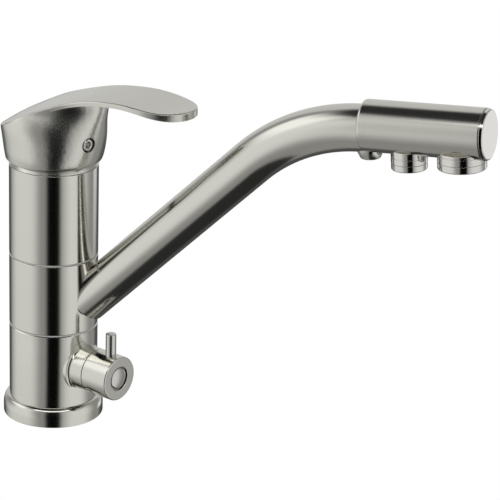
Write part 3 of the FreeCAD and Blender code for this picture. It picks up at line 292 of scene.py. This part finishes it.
def worn_edges():
    # One on edges that hands and cloths polish, zero elsewhere; the finishes also paint a highlight on these
    # edges.
    group, given, result = node_group(
        "worn_edges", [("Bulge", "value", 0.5), ("Cloud", "value", 0.5)], ["Wear"])
    edge = remapped(group, given["Bulge"], 0.52, 0.62, 0.0, 1.0, "SMOOTHSTEP")
    patch = remapped(group, given["Cloud"], 0.35, 0.65, 0.35, 1.0)
    feed(group, result, {"Wear": calc(group, "MULTIPLY", edge, patch)})
    return group


grain_group = brushed_grain()
wear_and_highlight_group = worn_edges()


# Finishes

def shade(tint, strength, lift=0.0):
    return tuple(min(1.0, value * strength + lift) for value in tint) + (1.0,)


def finish(name, tint, metal, roughness, drawn=False, bump=0.02, variation=0.05, contrast=0.05,
           worn_roughness=None):
    # A drawn surface has long lines along the piece's own grain map, and any other an even grain.
    # Variation is how far the roughness goes each way, and contrast how far the tint does.
    line_stretch = 40.0 if drawn else 1.0
    line_fineness = 7.0
    relief_depth = 0.0001
    # Painted highlight: how much of the edge mask lifts the colour lighter.
    painted_highlight_share = 0.3
    if worn_roughness is None:
        worn_roughness = 0.7 * roughness

    material = bpy.data.materials.new(name)
    material.use_nodes = True
    material.diffuse_color = tint + (1.0,)
    tree = material.node_tree
    if drawn:
        place = add_node(tree, "ShaderNodeUVMap", {}, uv_map="grain").outputs[0]
    else:
        place = in_millimetres(tree, add_node(tree, "ShaderNodeTexCoord", {}).outputs["Object"])
    grain = use_group(tree, grain_group, {"Place": place, "Stretch": line_stretch, "Fineness": line_fineness})
    bulge = add_node(tree, "ShaderNodeNewGeometry", {}).outputs["Pointiness"]
    wear_and_highlight = use_group(tree, wear_and_highlight_group, {"Bulge": bulge, "Cloud": grain["Cloud"]})["Wear"]

    tone = colour_between(tree, grain["Streaks"], shade(tint, 1.0 - contrast), shade(tint, 1.0 + contrast))
    # Painted highlight: edges get a colour lighter than the tint, standing in for their bright rim; the
    # roughness change below is the wear.
    painted_edge_highlight = calc(tree, "MULTIPLY", wear_and_highlight, painted_highlight_share)
    tone = colour_between(tree, painted_edge_highlight, tone, shade(tint, 1.12, 0.02))
    rough = remapped(tree, grain["Lines"], 0.3, 0.7, roughness - variation, roughness + variation)
    rough = calc(tree, "ADD", rough, calc(tree, "MULTIPLY", wear_and_highlight, worn_roughness - roughness))
    relief = add_node(tree, "ShaderNodeBump",
                      {"Strength": bump, "Distance": relief_depth, "Height": grain["Lines"]})
    feed(tree, tree.nodes["Principled BSDF"],
         {"Base Color": tone, "Metallic": metal, "Roughness": rough, "Normal": relief.outputs[0]})
    return material


nickel_tint = (0.672, 0.663, 0.61)
brushed_nickel = finish("brushed_nickel_drawn", nickel_tint, 1.0, 0.14, drawn=True, bump=0.006,
                        variation=0.02, contrast=0.025)
nickel_plain = finish("brushed_nickel_plain", nickel_tint, 1.0, 0.14, bump=0.004,
                      variation=0.02, contrast=0.025)
nickel_lever = finish("brushed_nickel_lever", nickel_tint, 1.0, 0.23, bump=0.004,
                      variation=0.02, contrast=0.025, worn_roughness=0.42)
nickel_polished = finish("nickel_polished_rim", (0.72, 0.705, 0.67), 1.0, 0.09, drawn=True, bump=0.003,
                         variation=0.02, contrast=0.02)
chrome_tint = (0.62, 0.61, 0.58)
chrome = finish("polished_chrome_drawn", chrome_tint, 1.0, 0.07, drawn=True, bump=0.004, variation=0.02)
chrome_plain = finish("polished_chrome_plain", chrome_tint, 1.0, 0.08, bump=0.004, variation=0.02)
brass = finish("bare_brass", (0.72, 0.54, 0.27), 1.0, 0.33, bump=0.05, contrast=0.10)
rubber = finish("black_rubber", (0.025, 0.025, 0.026), 0.0, 0.62, bump=0.08, variation=0.08, contrast=0.2)
slip_plastic = finish("slip_plastic", (0.80, 0.80, 0.78), 0.0, 0.45, bump=0.04, contrast=0.15)
cartridge_plastic = finish("cartridge_plastic", (0.78, 0.78, 0.76), 0.0, 0.42, bump=0.04, contrast=0.08)
ceramic = finish("disc_ceramic", (0.86, 0.85, 0.82), 0.0, 0.22, bump=0.01)
steel_mesh = finish("steel_mesh", (0.60, 0.60, 0.60), 1.0, 0.25, bump=0.02)

# The finish of each of the record's slots on a kept piece
plain_finish = {
    "brushed_nickel": nickel_plain,
    "polished_chrome": chrome_plain,
    "bare_brass": brass,
    "black_rubber": rubber,
    "slip_plastic": slip_plastic,
    "cartridge_plastic": cartridge_plastic,
    "disc_ceramic": ceramic,
    "steel_mesh": steel_mesh}


# Body of the tap, from the deck upwards

body_radius = 23.0
body_edge = 0.4
column_radius = 16.05
spigot_radius = 20.0
spigot_gap = 0.03
upper_body_top = 137.4
fine_steps = 160


def foot_ring():
    # The ring has a groove for the gasket underneath, a rounded foot and a quarter-round shoulder.
    bore = spigot_radius + spigot_gap
    groove_inside = 21.0
    groove_outside = 24.4
    groove_depth = 1.0
    shoulder_width = 3.1
    shoulder_height = 5.5
    wall_height = 4.5
    wall = body_radius + shoulder_width
    outline = [(bore, 0.0), (groove_inside, 0.0), (groove_inside, groove_depth),
               (groove_outside, groove_depth), (groove_outside, 0.0),
               (wall - 0.4, 0.0), (wall - 0.1, 0.12), (wall, 0.4)]
    outline += arc((body_radius, wall_height), shoulder_width, shoulder_height, 0.0, 90.0, 14)
    outline.append((bore, wall_height + shoulder_height))
    turned("foot_ring_body", outline, upright, "deck_body", brushed_nickel, ["foot_ring"], fine_steps)


def swivel_sleeve():
    bottom = 50.6
    top = 88.5
    outline = rounded([(column_radius, bottom), (body_radius, bottom, body_edge),
                       (body_radius, top, body_edge), (column_radius, top)])
    turned("swivel_sleeve_body", outline, upright, "spout", brushed_nickel, ["swivel_sleeve"], fine_steps)


def upper_body():
    # The wide bore takes the cartridge, and the narrow one below the ledge goes round the column.
    bottom = 89.2
    ledge = 95.0
    bore = 18.2
    outline = rounded([(bore, ledge), (column_radius, ledge), (column_radius, bottom),
                       (body_radius, bottom, body_edge), (body_radius, upper_body_top, body_edge),
                       (bore, upper_body_top)])
    turned("upper_body_wall", outline, upright, "deck_body", brushed_nickel, ["upper_body"], fine_steps)


def dome_ring():
    # Part of a ball on a fine gap above the body, with a skirt that goes down inside it.
    ball_radius = 25.805
    ball_height = 126.0
    gap_top = 137.7
    gap_radius = 22.2
    top = 143.4
    bore = 18.8
    bore_bottom = 137.6
    skirt_outside = 18.17
    skirt_inside = 16.6
    skirt_bottom = 134.4
    low = math.degrees(math.asin((gap_top - ball_height) / ball_radius))
    high = math.degrees(math.asin((top - ball_height) / ball_radius))
    outline = arc((0.0, ball_height), ball_radius, ball_radius, low, high, 12)
    outline += [(bore, top), (bore, bore_bottom), (skirt_outside, upper_body_top),
                (skirt_outside, skirt_bottom), (skirt_inside, skirt_bottom),
                (skirt_inside, upper_body_top), (gap_radius, upper_body_top), (gap_radius, gap_top)]
    turned("dome_ring_body", outline, upright, "deck_body", brushed_nickel, ["dome_ring"], fine_steps)


# Spout

tube_radius = 11.66
tube_rise = math.radians(44.8)
tube_foot = Vector((0.0, 0.0, 46.1))
tube_bend_radius = 92.3
head_radius = 12.76
head_start = 168.5
head_end = 232.25
end_cap_thickness = 1.7
head_face = head_end - end_cap_thickness


def tube_path():
    # The rising line meets the tube's line into the head at a corner, which the bend rounds off.
    below_head_axis = 1.5
    start_in_sleeve = 27.0
    end_in_head = 6.0
    straight_steps = 12
    bend_steps = 40
    way = sloping(tube_rise)
    entry = head_origin + head_down * below_head_axis
    rise = math.tan(tube_rise)
    fall = math.tan(head_tilt)
    reach = (entry.z - entry.x * fall - tube_foot.z) / (rise - fall)
    corner = Vector((reach, 0.0, tube_foot.z + reach * rise))
    bend_start = corner - way * (tube_bend_radius * math.tan((tube_rise - head_tilt) / 2))
    bend_centre = bend_start + Vector((way.z, 0.0, -way.x)) * tube_bend_radius
    straight = (bend_start - tube_foot).length - start_in_sleeve
    path = []
    for step in range(straight_steps + 1):
        path.append((tube_foot + way * (start_in_sleeve + straight * step / straight_steps), way))
    for step in range(1, bend_steps + 1):
        slope = tube_rise + (head_tilt - tube_rise) * step / bend_steps
        outwards = Vector((-math.sin(slope), 0.0, math.cos(slope)))
        path.append((bend_centre + outwards * tube_bend_radius, sloping(slope)))
    last, way = path[-1]
    path.append((last + way * end_in_head, way))
    return path


def spout_tube():
    swept("spout_tube_body", tube_path(), tube_radius, "spout", brushed_nickel, ["spout_tube"])


def spout_head():
    # Open at the back, where the tube goes in; a narrow step at the front shows as a dark seam.
    socket_radius = 10.7
    socket_end = 182.0
    step_start = head_face - 0.6
    step_radius = head_radius - 0.8
    outline = rounded([(0, socket_end), (socket_radius, socket_end), (socket_radius, head_start),
                       (head_radius, head_start, 1.6), (head_radius, step_start, 0.15),
                       (step_radius, step_start), (step_radius, head_face), (0, head_face)], 8)
    turned("spout_head_body", outline, head_place, "spout", brushed_nickel, ["spout_head"], fine_steps)


def head_end_cap():
    back = head_face + 0.03
    rim_radius = head_radius - 0.05
    slope_radius = head_radius - 0.6
    slope_start = head_end - 0.3
    flat_radius = head_radius - 1.1
    outline = rounded([(0, back), (rim_radius, back, 0.1), (slope_radius, slope_start, 0.2),
                       (flat_radius, head_end, 0.3), (0, head_end)], 4)
    turned("head_end_cap_body", outline, head_place, "spout", nickel_polished, ["head_end_cap"], fine_steps)


def outlet(title, reach, radius, bore, top, groove, seam, mouth):
    # A collar with a fine groove and, below the seam, the aerator's shell. Depths are measured
    # down from the head's axis, and the groove's is that of its middle.
    place = under_head(reach)
    socket_depth = 11.5
    groove_radius = radius - 0.3
    groove_top = groove - 0.25
    groove_bottom = groove + 0.25
    groove_edge = 0.1
    collar = rounded([(0, top), (radius, top, 0.25), (radius, groove_top, groove_edge),
                      (groove_radius, groove_top), (groove_radius, groove_bottom),
                      (radius, groove_bottom, groove_edge), (radius, seam, 0.15),
                      (bore, seam), (bore, socket_depth), (0, socket_depth)], 4)
    turned(title + "_collar_body", collar, place, "spout", nickel_polished, [title + "_collar"])

    shell_bore = bore + 0.25
    shell_radius = radius - 0.06
    shell = rounded([(shell_bore, seam + 0.5), (shell_radius, seam + 0.08, 0.15),
                     (shell_radius, mouth, 0.7), (shell_bore, mouth, 0.2)], 6)
    turned(title + "_shell_body", shell, place, "spout", nickel_polished, [title + "_shell"])


def outlets():
    outlet("mains", reach=218.0, radius=11.96, bore=8.3, top=8.76, groove=10.16, seam=13.76, mouth=17.46)
    outlet("filtered", reach=191.2, radius=8.9, bore=5.65, top=10.16, groove=13.61, seam=16.61, mouth=19.96)


def lock_boss():
    # A short boss under the back of the head that narrows to the mouth of the screw's bore.
    reach = 171.3
    root = 9.0
    radius = 6.8
    slope_start = 12.06
    tip_radius = 4.8
    tip = 16.26
    tip_edge = 1.2
    screw_radius = 2.55
    screw_depth = 14.0
    outline = rounded([(0, root), (radius, root), (radius, slope_start), (tip_radius, tip, tip_edge),
                       (screw_radius, tip), (screw_radius, screw_depth), (0, screw_depth)], 5)
    turned("lock_boss_body", outline, under_head(reach), "spout", brushed_nickel, ["spout_head"])


# Side valve, with distances along its axis from the tap's middle

knob_radius = 11.7


def valve_collar():
    # A flange at the body, a hollow round down to the stub, and the stub behind the knob.
    bore = 10.03
    root = 14.0
    flange_radius = 13.3
    flange_end = 21.0
    hollow_width = flange_radius - knob_radius
    hollow_length = 1.8
    end = 29.8
    hollow = arc((flange_radius, flange_end + hollow_length), hollow_width, hollow_length, 270.0, 180.0, 8)
    free_end = rounded([(knob_radius, end, 0.2), (bore, end), (bore, root)], 4)
    # The last point of the free end is the first of the whole outline, so it is left out.
    outline = [(bore, root), (flange_radius, root)] + hollow + free_end[:-1]
    turned("valve_collar_body", outline, valve_place, "deck_body", brushed_nickel, ["valve_collar"])


def filter_knob():
    # Open behind for the nose of the valve, and in front for the chromed button.
    back = 30.1
    front = 46.0
    recess_radius = 9.9
    recess_end = 33.0
    pocket_radius = 6.4
    pocket_end = 41.5
    outline = rounded([(0, recess_end), (recess_radius, recess_end), (recess_radius, back),
                       (knob_radius, back, 0.2), (knob_radius, front, 0.7), (pocket_radius, front, 0.3),
                       (pocket_radius, pocket_end), (0, pocket_end)], 6)
    turned("filter_knob_body", outline, valve_place, "filter_valve", brushed_nickel, ["filter_knob"])


def knob_pin():
    # Upright on the knob; its heights are above the valve's axis.
    distance = 40.0
    radius = 2.75
    root = 7.4
    tip = 23.6
    place = placed(valve_origin + valve_way * distance, up, (1, 0, 0))
    outline = rounded([(0, root), (radius, root), (radius, tip, 0.5), (0, tip)], 5)
    turned("knob_pin_body", outline, place, "filter_valve", chrome, ["knob_pin"], 64)


def knob_button():
    # A flange held in the knob's pocket, and a button with a low crown.
    back = 43.25
    flange_radius = 6.37
    flange_front = 43.7
    button_radius = 5.6
    button_edge = 45.5
    crown_radius = 5.4
    crown_foot = 45.7
    crown_height = 0.9
    crown_steps = 8
    outline = [(0, back), (flange_radius, back), (flange_radius, flange_front),
               (button_radius, flange_front), (button_radius, button_edge)]
    for step in range(crown_steps + 1):
        radius = crown_radius * (1.0 - step / crown_steps)
        outline.append((radius, crown_foot + crown_height * (1.0 - (radius / crown_radius) ** 2)))
    turned("knob_cap_body", outline, valve_place, "filter_valve", chrome, ["knob_cap"], 96)


# Set screw of the lever, with distances along its axis from the tap's middle

def lever_set_screw():
    # A thread inside the lever, a collar, and a round end with a socket for the key.
    place = placed((0.0, 0.0, 153.3), heading(-22.0), up)
    thread_radius = 2.35
    thread_tip = 3.6
    collar_radius = 3.7
    collar_start = 19.8
    collar_end = 24.4
    end_radius = 3.25
    end_start = 24.8
    end_face = 26.5
    socket_radius = 1.6
    socket_floor = 22.6
    outline = rounded([(0, thread_tip), (thread_radius, thread_tip), (thread_radius, collar_start),
                       (collar_radius, collar_start), (collar_radius, collar_end, 0.3),
                       (end_radius, end_start), (end_radius, end_face, 0.8),
                       (socket_radius, end_face, 0.35), (socket_radius, socket_floor),
                       (0, socket_floor)], 5)
    turned("lever_set_screw_body", outline, place, "lever", nickel_polished, ["lever_set_screw"], 64)


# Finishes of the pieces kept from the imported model

def kept_finish(node, packed):
    if node == "lever_handle":
        return nickel_lever
    return next(material for slot, material in plain_finish.items() if slot in packed.name)


def dress_kept_pieces():
    sharp = math.radians(30.0)
    for node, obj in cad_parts.items():
        if obj.hide_render:
            continue
        for polygon in obj.data.polygons:
            polygon.use_smooth = True
        obj.data.set_sharp_from_angle(angle=sharp)
        keep_flats_flat(obj)
        for holder in obj.material_slots:
            chosen = kept_finish(node, holder.material)
            holder.link = "OBJECT"
            holder.material = chosen


# Studio: a pale floor, an even surround and soft panels

# Each panel lies over the ones before it: bearing in degrees from the side that the picture is
# taken from, height in degrees, half its width, half its height, softness of its edge, brightness.
studio_panels = {
    "behind": (180.0, 20.0, 38.0, 34.0, 10.0, 0.69),
    "right": (64.0, -10.0, 32.0, 48.0, 20.0, 0.86),
    "left_low": (-83.0, -18.0, 40.0, 18.0, 20.0, 0.84),
    "left": (-72.0, 12.0, 28.0, 32.0, 16.0, 0.90),
    "left_high": (-96.0, 36.0, 24.0, 13.0, 9.0, 1.30),
    "bright_strip_in_front": (0.0, 51.0, 55.0, 5.0, 3.0, 2.40),
    "dark_in_front": (3.5, -5.0, 17.5, 47.0, 6.0, 0.003),
    "dark_below_right": (65.0, -75.0, 85.0, 27.0, 7.0, 0.03),
    "dark_below_behind": (180.0, -42.0, 42.0, 30.0, 8.0, 0.09),
    "patch_right_behind": (137.0, -13.0, 10.0, 7.0, 3.0, 0.95),
    "dark_above": (0.0, 80.0, 200.0, 24.0, 5.0, 0.028),
}
surround_brightness = 0.33
# The picture is taken from this many degrees round to the right of the spout's broad side.
picture_heading = 23.0


def soft_panel():
    # The tone inside a panel with soft edges, and the level given to the group outside it.
    group, given, result = node_group(
        "soft_panel",
        [("Bearing", "value", 0.0), ("Height", "value", 0.0), ("Panel Bearing", "value", 0.0),
         ("Panel Height", "value", 0.0), ("Half Width", "value", 20.0), ("Half Height", "value", 20.0),
         ("Softness", "value", 5.0), ("Level", "value", 0.0), ("Tone", "value", 1.0)],
        ["Level"])

    def within(value, centre, half):
        apart = calc(group, "WRAP", calc(group, "SUBTRACT", given[value], given[centre]), 180.0, -180.0)
        away = calc(group, "ABSOLUTE", apart)
        low = calc(group, "SUBTRACT", given[half], given["Softness"])
        high = calc(group, "ADD", given[half], given["Softness"])
        return remapped(group, away, low, high, 1.0, 0.0, "SMOOTHSTEP")

    across = within("Bearing", "Panel Bearing", "Half Width")
    upwards = within("Height", "Panel Height", "Half Height")
    mask = calc(group, "MULTIPLY", across, upwards)
    change = calc(group, "MULTIPLY", mask, calc(group, "SUBTRACT", given["Tone"], given["Level"]))
    feed(group, result, {"Level": calc(group, "ADD", given["Level"], change)})
    return group


def studio_world():
    # The panels light the tap and show in its metal; the background itself is plain white.
    world = bpy.data.worlds.new("studio")
    bpy.context.scene.world = world
    world.use_nodes = True
    tree = world.node_tree
    way = add_node(tree, "ShaderNodeTexCoord", {}).outputs["Generated"]
    from_front = {"Vector": way, "Angle": math.radians(90.0 - picture_heading)}
    turn = add_node(tree, "ShaderNodeVectorRotate", from_front, rotation_type="Z_AXIS")
    parts = add_node(tree, "ShaderNodeSeparateXYZ", {"Vector": turn.outputs[0]}).outputs
    bearing = calc(tree, "DEGREES", calc(tree, "ARCTAN2", parts["Y"], parts["X"]))
    height = calc(tree, "DEGREES", calc(tree, "ARCSINE", parts["Z"]))
    panel = soft_panel()
    level = surround_brightness
    for panel_bearing, panel_height, half_width, half_height, softness, tone in studio_panels.values():
        level = use_group(tree, panel, {
            "Bearing": bearing, "Height": height, "Panel Bearing": panel_bearing,
            "Panel Height": panel_height, "Half Width": half_width, "Half Height": half_height,
            "Softness": softness, "Level": level, "Tone": tone})["Level"]
    seen = add_node(tree, "ShaderNodeLightPath", {}).outputs["Is Camera Ray"]
    unseen = calc(tree, "SUBTRACT", 1.0, seen)
    level = calc(tree, "ADD", calc(tree, "MULTIPLY", level, unseen), seen)
    feed(tree, tree.nodes["Background"], {"Color": level, "Strength": 1.0})


def studio_floor():
    # Plain white to the camera, and pale to the light that falls on it.
    half = 1.6
    pale = (0.82, 0.82, 0.82, 1.0)
    corners = [(-half, -half, 0), (half, -half, 0), (half, half, 0), (-half, half, 0)]
    mesh = bpy.data.meshes.new("floor")
    mesh.from_pydata(corners, [], [(0, 1, 2, 3)])
    material = bpy.data.materials.new("floor_white")
    material.use_nodes = True
    tree = material.node_tree
    shader = tree.nodes["Principled BSDF"]
    feed(tree, shader, {"Base Color": pale, "Roughness": 0.9})
    glow = add_node(tree, "ShaderNodeEmission", {})
    seen = add_node(tree, "ShaderNodeLightPath", {}).outputs["Is Camera Ray"]
    mix = add_node(tree, "ShaderNodeMixShader", {0: seen, 1: shader.outputs[0], 2: glow.outputs[0]})
    feed(tree, tree.nodes["Material Output"], {"Surface": mix.outputs[0]})
    mesh.materials.append(material)
    floor = bpy.data.objects.new("floor", mesh)
    floor.visible_glossy = False
    bpy.context.scene.collection.objects.link(floor)


# Camera

def camera():
    # The picture is taken from the front right and from above. The place is in metres.
    place = Vector((0.5885, -1.1266, 0.5720))
    pitch = math.radians(20.722)
    roll = math.radians(1.766)
    turn = Matrix.Rotation(math.radians(picture_heading), 3, "Z")
    right = turn @ Vector((1.0, 0.0, 0.0))
    ahead = turn @ Vector((0.0, math.cos(pitch), -math.sin(pitch)))
    above = turn @ Vector((0.0, math.sin(pitch), math.cos(pitch)))
    side = right * math.cos(roll) + above * math.sin(roll)
    top = above * math.cos(roll) - right * math.sin(roll)
    lens = bpy.data.cameras.new("camera")
    lens.lens = 188.62
    lens.sensor_width = 36.0
    eye = bpy.data.objects.new("camera", lens)
    bpy.context.scene.collection.objects.link(eye)
    eye.matrix_world = Matrix.Translation(place) @ Matrix((side, top, -ahead)).transposed().to_4x4()
    bpy.context.scene.camera = eye


foot_ring()
swivel_sleeve()
upper_body()
dome_ring()
spout_tube()
spout_head()
head_end_cap()
outlets()
lock_boss()
valve_collar()
filter_knob()
knob_pin()
knob_button()
lever_set_screw()
dress_kept_pieces()
studio_world()
studio_floor()
camera()
bpy.context.scene.view_settings.view_transform = "Standard"
